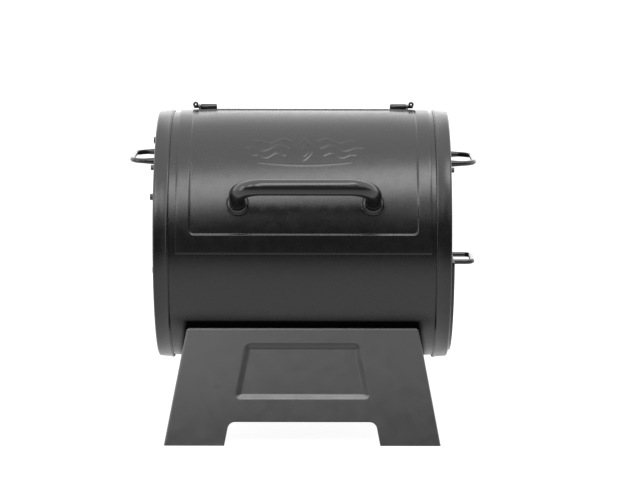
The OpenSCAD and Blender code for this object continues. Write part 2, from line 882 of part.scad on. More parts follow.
// Welded grate: cross rods from front to back on top of four long flat bars
module coal_grate() {
    n = floor((coal_x[1] - coal_x[0] - 2 * coal_rod_r) / coal_pitch);
    pitch = (coal_x[1] - coal_x[0] - 2 * coal_rod_r) / n;
    cross_z = coal_top - coal_rod_r;
    bar_w = 5;
    bar_h = coal_grate_h - coal_rod_r;
    color("#6b6e71") on_axis() union() {
        for (i = [0 : n])
            translate([coal_x[0] + coal_rod_r + i * pitch, coal_y, cross_z]) rotate([90, 0, 0])
                cylinder(h = 2 * coal_y, r = coal_rod_r, $fn = 24);
        for (y = [-1, -0.35, 0.35, 1] * (coal_y - 10))
            translate([coal_x[0], y - bar_w / 2, coal_top - coal_grate_h])
                cube([coal_x[1] - coal_x[0], bar_w, bar_h]);
    }
}

// Cast grate: a rim, bars from front to back and a stiffening rib under the middle
module cooking_grate(s) {
    length = grate_x[1] - grate_x[0];
    n = round((length - grate_rim) / grate_pitch);
    pitch = (length - grate_rim) / n;
    color("#303234") on_axis() side(s) translate([grate_x[0], -grate_y, grate_top - grate_h])
        union() {
            difference() {
                cube([length, 2 * grate_y, grate_h]);
                translate([grate_rim, grate_rim, -1])
                    cube([length - 2 * grate_rim, 2 * (grate_y - grate_rim), grate_h + 2]);
            }
            for (i = [1 : n - 1]) translate([(grate_rim - grate_bar) / 2 + i * pitch, 2, 0.5])
                cube([grate_bar, 2 * grate_y - 4, grate_h - 0.5]);
            for (y = [0.5, 1, 1.5] * grate_y) translate([2, y - 3, 1]) cube([length - 4, 6, grate_h - 5]);
        }
}

module cooking_grate_left() {
    cooking_grate(-1);
}

module cooking_grate_right() {
    cooking_grate(1);
}

// ---------------------------------------------------------------- assembly

barrel_shell();
left_end_cap();
right_end_cap();
front_leg();
rear_leg();
leg_bolts();
leg_nuts();
left_carry_handle();
right_carry_handle();
carry_handle_bolts();
carry_handle_nuts();
port_cover();
port_bolts();
port_nuts();
exhaust_rivet();
hinge_bracket_left();
hinge_bracket_right();
hinge_bolts();
hinge_nuts();
hinge_pin_left();
hinge_pin_right();
hinge_clip_left();
hinge_clip_right();
front_grate_ledge();
rear_grate_ledge();
front_drawer_rail();
rear_drawer_rail();
lid_panel();
lid_handle();
lid_handle_plugs();
lid_handle_cups();
lid_handle_washers();
lid_handle_screws();
hinge_knuckles();
drawer_pan();
drawer_front();
drawer_handle();
drawer_handle_washers();
drawer_handle_nuts();
intake_rivet();
coal_ledges();
intake_damper();
intake_damper_knob();
exhaust_damper();
exhaust_damper_knob();
coal_grate();
cooking_grate_left();
cooking_grate_right();
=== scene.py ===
import json
import math

import bmesh
import bpy
import numpy as np
from mathutils import Matrix, Vector


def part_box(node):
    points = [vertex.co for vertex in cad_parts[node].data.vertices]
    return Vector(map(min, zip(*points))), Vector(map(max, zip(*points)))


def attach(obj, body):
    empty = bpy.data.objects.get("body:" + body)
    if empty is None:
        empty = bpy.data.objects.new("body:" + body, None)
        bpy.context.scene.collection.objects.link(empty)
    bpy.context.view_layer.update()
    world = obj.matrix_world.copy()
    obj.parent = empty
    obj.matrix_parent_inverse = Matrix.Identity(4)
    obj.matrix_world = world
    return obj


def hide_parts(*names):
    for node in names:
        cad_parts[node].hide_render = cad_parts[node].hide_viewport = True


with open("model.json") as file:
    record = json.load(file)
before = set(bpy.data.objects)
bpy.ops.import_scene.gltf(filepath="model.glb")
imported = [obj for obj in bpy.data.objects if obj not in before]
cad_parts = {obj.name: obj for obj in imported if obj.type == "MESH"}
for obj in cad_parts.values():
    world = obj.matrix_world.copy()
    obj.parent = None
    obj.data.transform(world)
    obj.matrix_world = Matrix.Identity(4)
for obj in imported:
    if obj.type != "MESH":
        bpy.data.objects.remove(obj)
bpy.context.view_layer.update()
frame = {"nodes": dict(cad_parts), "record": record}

MM = 0.001
scene = bpy.context.scene
nodes = frame["nodes"]

# ---------------------------------------------------------------- sizes from the frame

SHELL_LO, SHELL_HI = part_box("barrel_shell")
LID_LO, LID_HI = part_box("lid_panel")
AXIS_Z = (SHELL_LO[2] + SHELL_HI[2]) / 2
BARREL_R = (SHELL_HI[2] - SHELL_LO[2]) / 2
SHEET = 1.5 * MM
LID_R = -LID_LO[1]
LID_X = (LID_HI[0] - LID_LO[0]) / 2
LID_MID = (LID_HI[0] + LID_LO[0]) / 2
HANDLE_MID = sum(corner[0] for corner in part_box("lid_handle")) / 2
LID_SHEET = 1.6 * MM
LID_REAR_A = math.degrees(math.atan2(LID_HI[1], math.sqrt(LID_R ** 2 - LID_HI[1] ** 2))) + 90
CAP_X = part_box("right_end_cap")[1][0]

# Stamped panel of the lid: half length, first and last angle, depth, corners, width of its step
STAMP_X = 179 * MM
STAMP_A = (8.4, 92.0)
STAMP_DEPTH = 1.7 * MM
STAMP_ROUND = 9 * MM
STAMP_STEP = 3.2 * MM
# Height by which the lid bulges towards its top
LID_CROWN = 1.5 * MM


def around(r, a):
    """Point in the (Y, Z) plane: radius r, angle a in degrees from the front, up and over."""
    t = math.radians(a)
    return -r * math.cos(t), AXIS_Z + r * math.sin(t)


# ---------------------------------------------------------------- materials

# Range that most of a noise texture's values lie in
NOISE_LOW, NOISE_HIGH = 0.3, 0.7
# Painted shade: the barrel is matt below this height, and this far from its middle at floor level
SHADE_BAND_TOP = (185.5 * MM, 190.5 * MM)
SHADE_BAND_SIDE = (217 * MM, 227 * MM)
# Growth of that half width per length downwards, as the leg plates widen
SHADE_BAND_FLARE = 0.198


def node_material(name):
    mat = bpy.data.materials.new(name)
    mat.use_nodes = True
    tree = mat.node_tree
    shader = tree.nodes["Principled BSDF"]
    coords = tree.nodes.new("ShaderNodeTexCoord")
    return mat, tree, shader, coords.outputs["Object"]


def noise(tree, coords, scale, detail, rough=0.5, stretch=None):
    tex = tree.nodes.new("ShaderNodeTexNoise")
    tex.inputs["Scale"].default_value = scale
    tex.inputs["Detail"].default_value = detail
    tex.inputs["Roughness"].default_value = rough
    if stretch:
        mapping = tree.nodes.new("ShaderNodeMapping")
        mapping.inputs["Scale"].default_value = stretch
        tree.links.new(coords, mapping.inputs["Vector"])
        coords = mapping.outputs["Vector"]
    tree.links.new(coords, tex.inputs["Vector"])
    return tex.outputs["Fac"]


def ramp(tree, fac, stops):
    node = tree.nodes.new("ShaderNodeValToRGB")
    elements = node.color_ramp.elements
    for element, (at, value) in zip(elements, (stops[0], stops[-1])):
        element.position = at
        element.color = value if len(value) == 4 else (*value, 1)
    for at, value in stops[1:-1]:
        element = elements.new(at)
        element.color = value if len(value) == 4 else (*value, 1)
    tree.links.new(fac, node.inputs["Fac"])
    return node.outputs["Color"]


def two_tones(tree, fac, dark, light):
    """Colours a noise value, over its usual range, from dark to light."""
    return ramp(tree, fac, [(NOISE_LOW, dark), (NOISE_HIGH, light)])


def mapped(tree, value, start, end, low, high, kind="LINEAR"):
    """Maps a value from start to end onto low to high."""
    node = tree.nodes.new("ShaderNodeMapRange")
    node.interpolation_type = kind
    sockets = ("From Min", "From Max", "To Min", "To Max")
    for socket, number in zip(sockets, (start, end, low, high)):
        node.inputs[socket].default_value = number
    tree.links.new(value, node.inputs["Value"])
    return node.outputs["Result"]


def spread(tree, fac, low, high):
    """Maps a noise value, over its usual range, onto low to high."""
    return mapped(tree, fac, NOISE_LOW, NOISE_HIGH, low, high)


def arithmetic(tree, operation, *values):
    node = tree.nodes.new("ShaderNodeMath")
    node.operation = operation
    for socket, value in zip(node.inputs, values):
        if isinstance(value, float):
            socket.default_value = value
        else:
            tree.links.new(value, socket)
    return node.outputs["Value"]


def separated(tree, coords):
    node = tree.nodes.new("ShaderNodeSeparateXYZ")
    tree.links.new(coords, node.inputs["Vector"])
    return node.outputs


def bump(tree, height, distance, below=None):
    node = tree.nodes.new("ShaderNodeBump")
    node.inputs["Distance"].default_value = distance
    tree.links.new(height, node.inputs["Height"])
    if below is not None:
        tree.links.new(below, node.inputs["Normal"])
    return node.outputs["Normal"]


def shades(colour, low, high):
    return tuple(c * low for c in colour), tuple(c * high for c in colour)


def gloss_with_painted_shade(tree, coords, gloss):
    """Gloss that ends behind the leg plates, which paints a shade band on the barrel there."""
    place = separated(tree, coords)
    above = mapped(tree, place["Z"], *SHADE_BAND_TOP, 0.0, 1.0, "SMOOTHSTEP")
    across = arithmetic(tree, "ABSOLUTE", place["X"])
    across = arithmetic(tree, "MULTIPLY_ADD", place["Z"], SHADE_BAND_FLARE, across)
    beside = mapped(tree, across, *SHADE_BAND_SIDE, 0.0, 1.0, "SMOOTHSTEP")
    return arithmetic(tree, "MULTIPLY", arithmetic(tree, "MAXIMUM", above, beside), gloss)


def painted(name, colour, rough, grain=0.05 * MM, grain_scale=900, height_shade=None, gloss=0.5,
            shade_band=False):
    """Satin heat-proof paint: fine orange peel, faint cloudiness in tone and gloss.

    height_shade (z0, z1, low, high) makes the tone change with the height, as painted shade;
    shade_band takes the gloss off the barrel behind the leg plates, as a painted shade band.
    """
    mat, tree, shader, coords = node_material(name)
    cloud = noise(tree, coords, 9, 4)
    dark, light = shades(colour, 0.85, 1.15)
    # Tone set by height: painted shade, darker low down and lighter higher up.
    if height_shade:
        height = mapped(tree, separated(tree, coords)["Z"], height_shade[0], height_shade[1], 0.25, 0.75)
        cloud = arithmetic(tree, "MULTIPLY_ADD", cloud, 0.25, height)
        dark, light = shades(colour, height_shade[2], height_shade[3])
    tree.links.new(two_tones(tree, cloud, dark, light), shader.inputs["Base Color"])
    fine = noise(tree, coords, 60, 3)
    tree.links.new(spread(tree, fine, rough - 0.03, rough + 0.03), shader.inputs["Roughness"])
    peel = bump(tree, noise(tree, coords, grain_scale, 2), grain)
    wave = bump(tree, noise(tree, coords, 25, 1), 0.12 * MM, below=peel)
    tree.links.new(wave, shader.inputs["Normal"])
    # No gloss on the barrel behind the leg plates: a painted shade band.
    if shade_band:
        tree.links.new(gloss_with_painted_shade(tree, coords, gloss), shader.inputs["Specular IOR Level"])
    else:
        shader.inputs["Specular IOR Level"].default_value = gloss
    return mat


def cast_iron(name, colour):
    mat, tree, shader, coords = node_material(name)
    patches = noise(tree, coords, 35, 5, 0.6)
    dark, light = shades(colour, 0.6, 1.5)
    tree.links.new(two_tones(tree, patches, dark, light), shader.inputs["Base Color"])
    tree.links.new(spread(tree, patches, 0.5, 0.75), shader.inputs["Roughness"])
    grit = bump(tree, noise(tree, coords, 650, 4, 0.7), 0.35 * MM)
    tree.links.new(bump(tree, noise(tree, coords, 120, 2), 0.5 * MM, below=grit),
                   shader.inputs["Normal"])
    shader.inputs["Metallic"].default_value = 0.35
    return mat


def steel(name, colour, rough, stretch, stain=None):
    mat, tree, shader, coords = node_material(name)
    streak = noise(tree, coords, 400, 3, 0.6, stretch)
    dark, light = shades(colour, 0.8, 1.2)
    tone = two_tones(tree, noise(tree, coords, 14, 4), stain or dark, light)
    tree.links.new(tone, shader.inputs["Base Color"])
    tree.links.new(spread(tree, streak, rough - 0.07, rough + 0.07), shader.inputs["Roughness"])
    tree.links.new(bump(tree, streak, 0.03 * MM), shader.inputs["Normal"])
    shader.inputs["Metallic"].default_value = 1.0
    return mat


MATERIALS = {
    # The barrel paint loses its gloss behind the leg plates: a painted shade band.
    "barrel_paint": painted("barrel_paint", (0.0014, 0.00145, 0.0015), 0.27, shade_band=True),
    # The leg paint is dark near the floor and light at the top: painted shade by height.
    "leg_paint": painted("leg_paint", (0.008, 0.0081, 0.0083), 0.36, height_shade=(0.0, 0.18, 0.2, 1.8),
                         gloss=0.82),
    "handle_paint": painted("handle_paint", (0.006, 0.006, 0.0063), 0.2, 0.015 * MM, 1400),
    "cup_black": painted("cup_black", (0.003, 0.003, 0.0031), 0.2, 0.02 * MM, 1800),
    "pan_steel": painted("pan_steel", (0.045, 0.043, 0.041), 0.62, 0.1 * MM, 500),
    "ledge_steel": painted("ledge_steel", (0.025, 0.025, 0.026), 0.55),
    "grate_iron": cast_iron("grate_iron", (0.030, 0.030, 0.031)),
    "coal_grate_steel": steel("coal_grate_steel", (0.30, 0.28, 0.26), 0.42, (0.02, 1, 1),
                              (0.10, 0.075, 0.06)),
    "fastener_black": steel("fastener_black", (0.055, 0.056, 0.06), 0.4, (1, 1, 1)),
    "pin_steel": steel("pin_steel", (0.05, 0.05, 0.052), 0.4, (0.05, 1, 1)),
}
SLOT_OF = {row["node"]: row["material_slot"] for row in frame["record"]["subparts"]}


# ---------------------------------------------------------------- mesh tools

def link_piece(name, mesh, body, slot, replaced, sharp=35):
    """Makes a mesh a piece of the object: material, smooth shading, body and slot."""
    mesh.materials.clear()
    mesh.materials.append(MATERIALS[slot])
    mesh.polygons.foreach_set("use_smooth", [True] * len(mesh.polygons))
    mesh.set_sharp_from_angle(angle=math.radians(sharp))
    obj = bpy.data.objects.new(name, mesh)
    scene.collection.objects.link(obj)
    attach(obj, body)
    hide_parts(*replaced)


def mesh_from(name, verts, faces):
    mesh = bpy.data.meshes.new(name)
    mesh.from_pydata([tuple(v) for v in verts], [], faces)
    bm = bmesh.new()
    bm.from_mesh(mesh)
    bmesh.ops.remove_doubles(bm, verts=bm.verts, dist=1e-7)
    bmesh.ops.recalc_face_normals(bm, faces=bm.faces)
    bm.to_mesh(mesh)
    bm.free()
    return mesh


def processed(mesh, *steps):
    """Runs modifiers on a mesh and returns the result. A step is (type, {setting: value})."""
    obj = bpy.data.objects.new("work", mesh)
    scene.collection.objects.link(obj)
    for kind, settings in steps:
        modifier = obj.modifiers.new(kind.lower(), kind)
        for key, value in settings.items():
            setattr(modifier, key, value)
    depsgraph = bpy.context.evaluated_depsgraph_get()
    result = bpy.data.meshes.new_from_object(obj.evaluated_get(depsgraph), depsgraph=depsgraph)
    bpy.data.objects.remove(obj)
    return result


def solidify(thickness):
    return ("SOLIDIFY", {"thickness": thickness, "offset": -1.0, "use_even_offset": True})


def bevel(width, segments=2, angle=30):
    return ("BEVEL", {"width": width, "segments": segments, "limit_method": "ANGLE",
                      "angle_limit": math.radians(angle), "use_clamp_overlap": True})


def sheet_mesh(name, us, vs, point, keep=None):
    """Open sheet over a grid of parameters. keep(u, v) says which cells are there."""
    verts = [point(u, v) for u in us for v in vs]
    n = len(vs)
    faces = []
    for i in range(len(us) - 1):
        for j in range(n - 1):
            if keep is None or keep((us[i] + us[i + 1]) / 2, (vs[j] + vs[j + 1]) / 2):
                faces.append((i * n + j, (i + 1) * n + j, (i + 1) * n + j + 1, i * n + j + 1))
    return mesh_from(name, verts, faces)


def sweep(name, path, radii, sides):
    """Closed tube along a path of points, with a radius per point."""
    path = [Vector(p) for p in path]
    n = len(path)
    tangents = [(path[min(i + 1, n - 1)] - path[max(i - 1, 0)]).normalized() for i in range(n)]
    across = tangents[0].orthogonal().normalized()
    verts, faces = [], []
    for i, (p, t) in enumerate(zip(path, tangents)):
        across = (across - t * across.dot(t)).normalized()
        other = t.cross(across)
        for k in range(sides):
            a = 2 * math.pi * k / sides
            verts.append(p + radii[i] * (across * math.cos(a) + other * math.sin(a)))
    for i in range(n - 1):
        for k in range(sides):
            m = (k + 1) % sides
            faces.append((i * sides + k, (i + 1) * sides + k, (i + 1) * sides + m, i * sides + m))
    faces.append(tuple(range(sides)))
    faces.append(tuple((n - 1) * sides + k for k in range(sides)))
    return mesh_from(name, verts, faces)


def revolve_x(name, profile, centre):
    """Solid of revolution about X through centre (y, z). The profile holds (x, r) points."""
    sides = 192
    verts, faces = [], []
    n = len(profile)
    for k in range(sides):
        a = 2 * math.pi * k / sides
        for x, r in profile:
            verts.append((x, centre[0] + r * math.cos(a), centre[1] + r * math.sin(a)))
    for k in range(sides):
        m = (k + 1) % sides
        for i in range(n):
            j = (i + 1) % n
            if profile[i][1] < 1e-9 and profile[j][1] < 1e-9:
                continue
            faces.append((k * n + i, k * n + j, m * n + j, m * n + i))
    return mesh_from(name, verts, faces)


def refined(node, width):
    """The CAD node's own shape with its flat faces merged and its edges rounded."""
    mesh = nodes[node].data.copy()
    bm = bmesh.new()
    bm.from_mesh(mesh)
    bmesh.ops.remove_doubles(bm, verts=bm.verts, dist=1e-6)
    bmesh.ops.dissolve_limit(bm, angle_limit=math.radians(0.5), verts=bm.verts, edges=bm.edges)
    bm.to_mesh(mesh)
    bm.free()
    mesh = processed(mesh, bevel(width))
    body = next(b for b, members in frame["record"]["behaviour"]["bodies"].items()
                if node in members)
    link_piece(node + "_fine", mesh, body, SLOT_OF[node], (node,))


def join(name, meshes):
    """One mesh holding all the given ones."""
    bm = bmesh.new()
    for mesh in meshes:
        bm.from_mesh(mesh)
    out = bpy.data.meshes.new(name)
    bm.to_mesh(out)
    bm.free()
    return out


def cut(mesh, cutter):
    """mesh less the closed mesh cutter."""
    tool = bpy.data.objects.new("cutter", cutter)
    scene.collection.objects.link(tool)
    result = processed(mesh, ("BOOLEAN", {"object": tool, "operation": "DIFFERENCE",
                                          "solver": "EXACT"}))
    bpy.data.objects.remove(tool)
    return result


def prism(name, outline, start, end, place):
    """Closed prism: an outline swept from start to end; place maps (p, q, depth) to a point."""
    n = len(outline)
    verts = [place(p, q, start) for p, q in outline] + [place(p, q, end) for p, q in outline]
    faces = [tuple(range(n)), tuple(range(n, 2 * n))]
    faces += [(i, (i + 1) % n, n + (i + 1) % n, n + i) for i in range(n)]
    return mesh_from(name, verts, faces)


def lines(stops):
    """Grid lines: each stop is (from, to, spacing), and they follow one another."""
    out = []
    for lo, hi, step in stops:
        count = max(1, round((hi - lo) / step))
        out += [lo + (hi - lo) * i / count for i in range(count)]
    return out + [stops[-1][1]]


def smooth_step(t):
    t = min(max(t, 0.0), 1.0)
    return t * t * (3 - 2 * t)


def chamfer(t, r=0.2):
    """Straight slope from 0 to 1 with both ends rounded over r."""
    t = min(max(t, 0.0), 1.0)
    if t > 0.5:
        return 1 - chamfer(1 - t, r)
    return t * t / (2 * r * (1 - r)) if t < r else (t - r / 2) / (1 - r)


def rounded_box_distance(p, q, half_p, half_q, r):
    """Signed distance to a rectangle with corners of radius r: below 0 inside."""
    dp, dq = abs(p) - half_p + r, abs(q) - half_q + r
    return math.hypot(max(dp, 0), max(dq, 0)) + min(max(dp, dq), 0) - r


# ---------------------------------------------------------------- lid

def ornament_strokes():
    """Strokes of the stamped ornament, in mm: a flame between rows of waves, over an arc."""
    strokes = []
    for side in (-1, 1):
        for x0, length, height, row in ((20, 60, 5.5, 21), (25, 68, 6.5, 6), (31, 50, 5.5, -9)):
            t = np.linspace(0, 1, 90)
            taper = np.sin(math.pi * np.clip(t * 1.15, 0, 1)) ** 0.5
            x = side * (x0 + length * t)
            y = row + height * taper * np.sin(2.5 * math.pi * t)
            strokes.append((np.stack([x, y], 1), 1.9 - 1.0 * t))
    t = np.linspace(-1, 1, 120)
    for scale, wide in ((1.0, 1.7), (0.5, 1.4)):
        x = scale * 15 * np.sin(math.pi * t) * (1 - np.abs(t)) ** 0.35
        y = 4 + scale * 27 * (np.abs(t) * 1.7 - 0.85) - (1 - scale) * 8
        strokes.append((np.stack([x, y], 1), np.full(len(t), wide)))
    x = 72 * t
    strokes.append((np.stack([x, -29 + 5 * t ** 2], 1), 1.6 - 1.1 * np.abs(t)))
    return strokes


# Ornament: the angle of its middle, its half length and half height, how far it stands out
ORNAMENT_A = 50.0
ORNAMENT_HALF = (97 * MM, 36 * MM)
ORNAMENT_HEIGHT = 0.55 * MM


def ornament_height(x, a, strokes):
    """Height of the ornament at a point of the lid, with soft edges on its strokes."""
    p = np.array([x / MM, (math.radians(a - ORNAMENT_A) * LID_R) / MM])
    best = 9.0
    edge = 2.4
    for points, wide in strokes:
        best = min(best, float(np.min(np.hypot(*(points - p).T) - wide)))
    return ORNAMENT_HEIGHT * smooth_step(0.5 - best / edge)


def make_lid():
    strokes = ornament_strokes()
    mid_a = sum(STAMP_A) / 2
    half_arc = math.radians(STAMP_A[1] - STAMP_A[0]) / 2 * LID_R
    # Grid lines are fine over the ornament and over the step of the panel, from just
    # outside it to its rounded corners.
    fine, drawn, corner, margin = 0.6 * MM, 1 * MM, 14 * MM, 1 * MM
    ornament_x = ORNAMENT_HALF[0] + margin
    xs_half = lines([(0, ornament_x, drawn), (ornament_x, STAMP_X - corner, 6 * MM),
                     (STAMP_X - corner, STAMP_X + margin, fine),
                     (STAMP_X + margin, LID_X, 4 * MM)])
    xs = [-x for x in reversed(xs_half)] + xs_half[1:]
    deg = math.degrees(1 / LID_R)
    first, last = STAMP_A[0] - 7 * MM * deg / 6, STAMP_A[1] + margin * deg
    inner_first, inner_last = STAMP_A[0] + corner * deg, STAMP_A[1] - corner * deg
    half = (ORNAMENT_HALF[1] + margin) * deg
    angles = lines([(0, first, 1.0), (first, inner_first, fine * deg),
                    (inner_first, ORNAMENT_A - half, 1.2),
                    (ORNAMENT_A - half, ORNAMENT_A + half, drawn * deg),
                    (ORNAMENT_A + half, inner_last, 1.2),
                    (inner_last, last, fine * deg), (last, LID_REAR_A, 1.0)])

    def point(x, a):
        arc = math.radians(a - mid_a) * LID_R
        inside = -rounded_box_distance(x, arc, STAMP_X, half_arc, STAMP_ROUND)
        r = LID_R - STAMP_DEPTH * smooth_step(inside / STAMP_STEP)
        towards_middle = smooth_step((190 * MM - abs(x)) / (60 * MM))
        r += LID_CROWN * towards_middle * smooth_step((a - 60) / 30)
        if abs(x) < ORNAMENT_HALF[0] and abs(a - ORNAMENT_A) < ORNAMENT_HALF[1] * deg:
            r += ornament_height(x, a, strokes)
        return (LID_MID + x, *around(r, a))

    mesh = sheet_mesh("lid_sheet", xs, angles, point)
    outward = sum((p.normal.dot(Vector((0, p.center.y, p.center.z - AXIS_Z))) > 0)
                  for p in mesh.polygons) > len(mesh.polygons) / 2
    if not outward:
        mesh.flip_normals()
    mesh = processed(mesh, solidify(LID_SHEET), bevel(0.5 * MM, 2, 60))
    link_piece("lid_sheet", mesh, "lid", "barrel_paint", ("lid_panel",), 50)


make_lid()

# ---------------------------------------------------------------- barrel shell

# Opening under the lid: half length, and its first and last angle
OPENING_X = LID_X - 10.5 * MM
OPENING_A = (3.0, LID_REAR_A - 2.7)


def make_shell():
    xs = lines([(SHELL_LO[0], -OPENING_X, 8 * MM), (-OPENING_X, OPENING_X, 12 * MM),
                (OPENING_X, SHELL_HI[0], 8 * MM)])
    angles = lines([(OPENING_A[0], OPENING_A[1], 1.5), (OPENING_A[1], 360 + OPENING_A[0], 1.5)])

    def point(x, a):
        return (x, *around(BARREL_R, a))

    def outside_opening(x, a):
        return abs(x) > OPENING_X or a > OPENING_A[1]

    mesh = sheet_mesh("barrel_sheet", xs, angles, point, outside_opening)
    first = mesh.polygons[0]
    if first.normal.dot(Vector((0, first.center.y, first.center.z - AXIS_Z))) < 0:
        mesh.flip_normals()
    mesh = processed(mesh, solidify(SHEET), bevel(0.4 * MM, 2, 60))
    link_piece("barrel_sheet", mesh, "firebox", "barrel_paint", ("barrel_shell",), 50)


make_shell()

# ---------------------------------------------------------------- end caps

CAP_RIM_IN = BARREL_R + 0.2 * MM
CAP_RIM = CAP_RIM_IN + SHEET
CAP_DEPTH = 24.5 * MM
CAP_ROUND = 3.5 * MM
LIP_R = 2.4 * MM


def cap_profile():
    """(x, r) outline of a cap's section, from the middle outwards and back inside."""
    out = [(CAP_X, 0.0), (CAP_X, CAP_RIM - 28 * MM)]
    for i in range(9):
        t = i / 8
        out.append((CAP_X - 1.4 * MM * math.sin(math.pi * t) ** 2, CAP_RIM - (26 - 16 * t) * MM))
    for i in range(9):
        a = math.pi / 2 * i / 8
        out.append((CAP_X - CAP_ROUND + CAP_ROUND * math.cos(a),
                    CAP_RIM - CAP_ROUND + CAP_ROUND * math.sin(a)))
    lip_x = CAP_X - CAP_DEPTH + LIP_R
    for i in range(17):
        a = math.radians(40 + 250 * i / 16)
        out.append((lip_x + LIP_R * math.cos(a), CAP_RIM - 0.2 * MM + LIP_R * math.sin(a)))
    out = [p for p in out if p[1] >= CAP_RIM_IN or p[0] > CAP_X - CAP_ROUND - 1e-6]
    out.append((CAP_X - CAP_DEPTH, CAP_RIM_IN))
    inner = CAP_ROUND - SHEET
    for i in range(9):
        a = math.pi / 2 * (1 - i / 8)
        out.append((CAP_X - CAP_ROUND + inner * math.cos(a),
                    CAP_RIM_IN - inner + inner * math.sin(a)))
    return out + [(CAP_X - SHEET, 0.0)]


def x_prism(name, outline, x0, x1):
    return prism(name, outline, x0, x1, lambda p, q, x: (x, p, AXIS_Z + q))


def circle(r, y=0.0, z=0.0, n=96):
    return [(y + r * math.cos(2 * math.pi * i / n), z + r * math.sin(2 * math.pi * i / n))
            for i in range(n)]


def half_moon(r, top):
    """Outline of the part of a disc of radius r that lies below height top."""
    n = 96
    a0 = math.asin(-top / r)
    return [(r * math.cos(math.pi + a0 + (math.pi - 2 * a0) * i / n),
             r * math.sin(math.pi + a0 + (math.pi - 2 * a0) * i / n)) for i in range(n + 1)]


EXHAUST_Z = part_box("exhaust_damper")[0][2] / 2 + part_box("exhaust_damper")[1][2] / 2 - AXIS_Z
PORT_R = 80 * MM
# Drawer's hole: radius, and the height of its flat top from the barrel's axis
DRAWER_HOLE = (184 * MM, -20 * MM)
# How far the tool that cuts a hole reaches on both sides of the sheet
THROUGH = 20 * MM


def make_caps():
    profile = cap_profile()
    right = revolve_x("right_cap", profile, (0, AXIS_Z))
    right = cut(right, x_prism("hole", half_moon(*DRAWER_HOLE), CAP_X - THROUGH, CAP_X + THROUGH))
    link_piece("right_cap", right, "firebox", "barrel_paint", ("right_end_cap",), 40)
    left = revolve_x("left_cap", [(-x, r) for x, r in profile], (0, AXIS_Z))
    port = circle(PORT_R, 0, EXHAUST_Z)
    left = cut(left, x_prism("port", port, -CAP_X - THROUGH, -CAP_X + THROUGH))
    link_piece("left_cap", left, "firebox", "barrel_paint", ("left_end_cap",), 40)


make_caps()

# ---------------------------------------------------------------- legs

LEG_LEAN = math.radians(20.3)
LEG_LEN = 187 * MM
LEG_SHEET = 2 * MM
LEG_TOP_HALF = 182.5 * MM
LEG_FOOT_HALF = 216.5 * MM
FOOT_Y = -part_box("front_leg")[0][1]
LEG_FOLD = 2.8 * MM
LEG_RETURN = 22 * MM
# Stamped panel: its ends up the slope and its half widths there, its depth, step and corners
PANEL_S = (72.5 * MM, 162 * MM)
PANEL_HALF = (107 * MM, 90 * MM)
PANEL_DEPTH = 2.9 * MM
PANEL_STEP = 9.5 * MM
PANEL_ROUND = 9 * MM
# Arch between the feet: half widths at the floor and the top, height, corner radius
ARCH = (122 * MM, 115 * MM, 37.5 * MM, 12 * MM)


def leg_half(s):
    """Half width of a leg plate, s up its slope."""
    return LEG_FOOT_HALF + (LEG_TOP_HALF - LEG_FOOT_HALF) * s / LEG_LEN


def on_leg(x, s, out, front):
    """World point of a leg: x along the barrel, s up the slope, out of its outer face."""
    y = -FOOT_Y + s * math.sin(LEG_LEAN) - out * math.cos(LEG_LEAN)
    z = s * math.cos(LEG_LEAN) + out * math.sin(LEG_LEAN)
    return (x, y if front else -y, z)


def panel_distance(x, s):
    """Distance inside the stamped trapezoid, with rounded corners."""
    slope = (PANEL_HALF[0] - PANEL_HALF[1]) / (PANEL_S[1] - PANEL_S[0])
    side = (PANEL_HALF[0] - slope * (s - PANEL_S[0]) - abs(x)) / math.hypot(1, slope)
    end = min(s - PANEL_S[0], PANEL_S[1] - s)
    if side < PANEL_ROUND and end < PANEL_ROUND:
        return PANEL_ROUND - math.hypot(PANEL_ROUND - side, PANEL_ROUND - end)
    return min(side, end)


